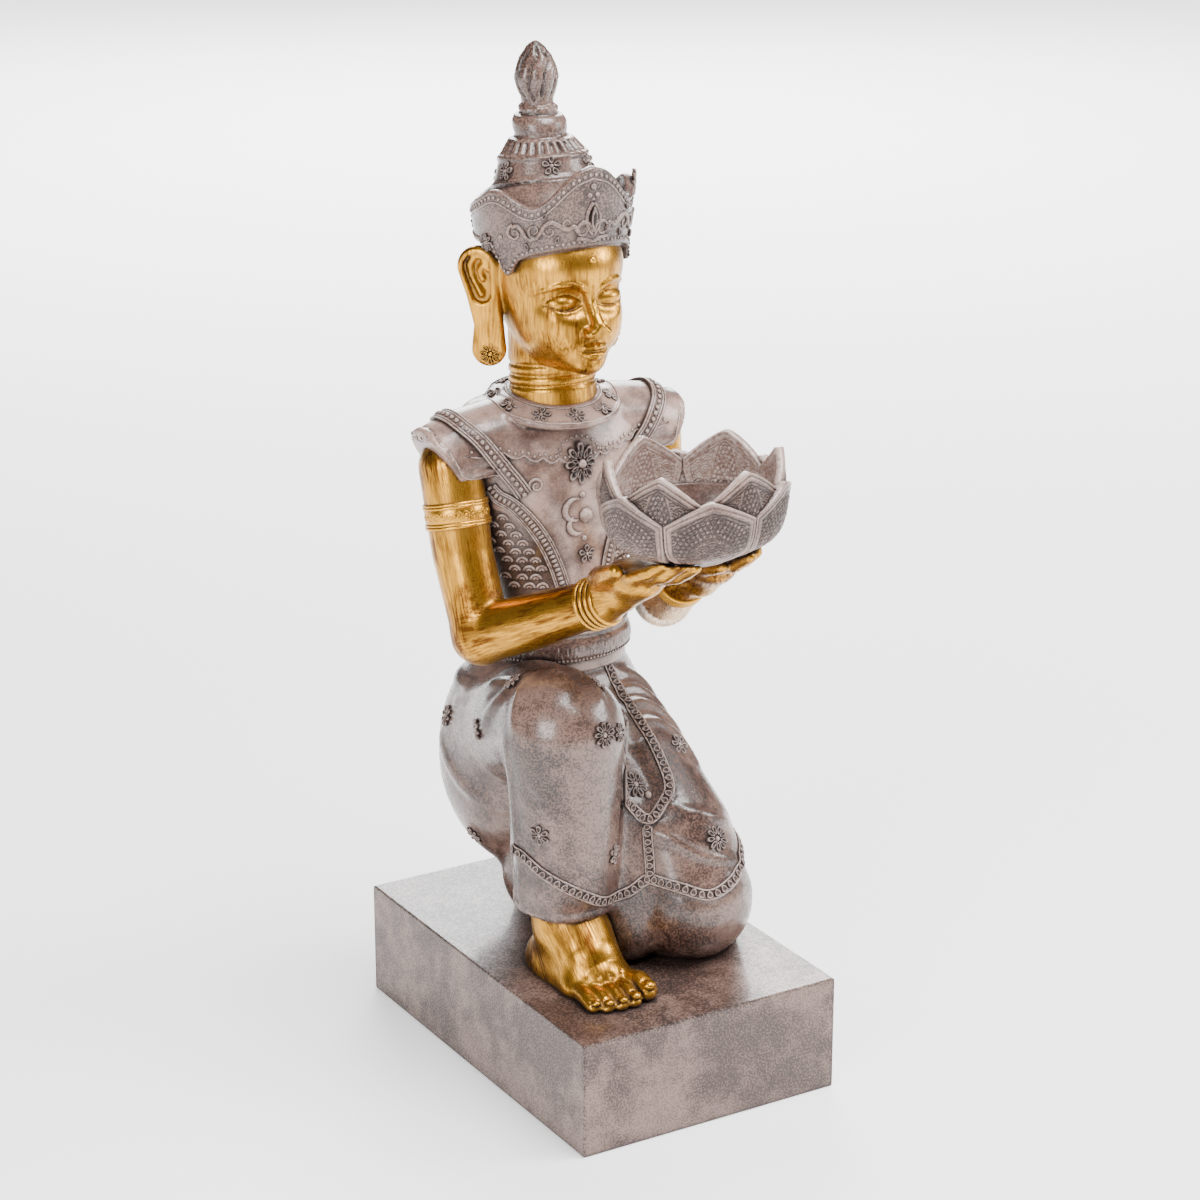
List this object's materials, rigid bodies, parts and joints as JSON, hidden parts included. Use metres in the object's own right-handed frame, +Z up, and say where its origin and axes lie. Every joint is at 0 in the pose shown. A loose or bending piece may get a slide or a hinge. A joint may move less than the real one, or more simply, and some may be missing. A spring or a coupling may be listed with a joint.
{
  "type": "kneeling buddha statue with lotus bowl",
  "caption": "Crowned figure kneeling on one knee on a rectangular plinth, holding up a lotus bowl in both hands for a tea light or an offering.",
  "frame": {"origin": "centre of the plinth's underside", "axes": "+Z up, -Y towards the side that the figure faces, -X the figure's own right, where the knee is raised"},
  "size_m": [0.163, 0.2667, 0.5613],
  "materials": {
    "plinth": "cast resin with a speckled grey-pink antique wash",
    "figure": "cast resin, clothing in a rubbed grey-brown antique wash and skin in brushed gold paint",
    "bowl": "cast resin with pale ridges over a dark antique wash"
  },
  "bodies": {
    "root": {"plinth": "plinth", "kneeling_figure": "figure", "lotus_bowl": "bowl"}
  },
  "joints": []
}
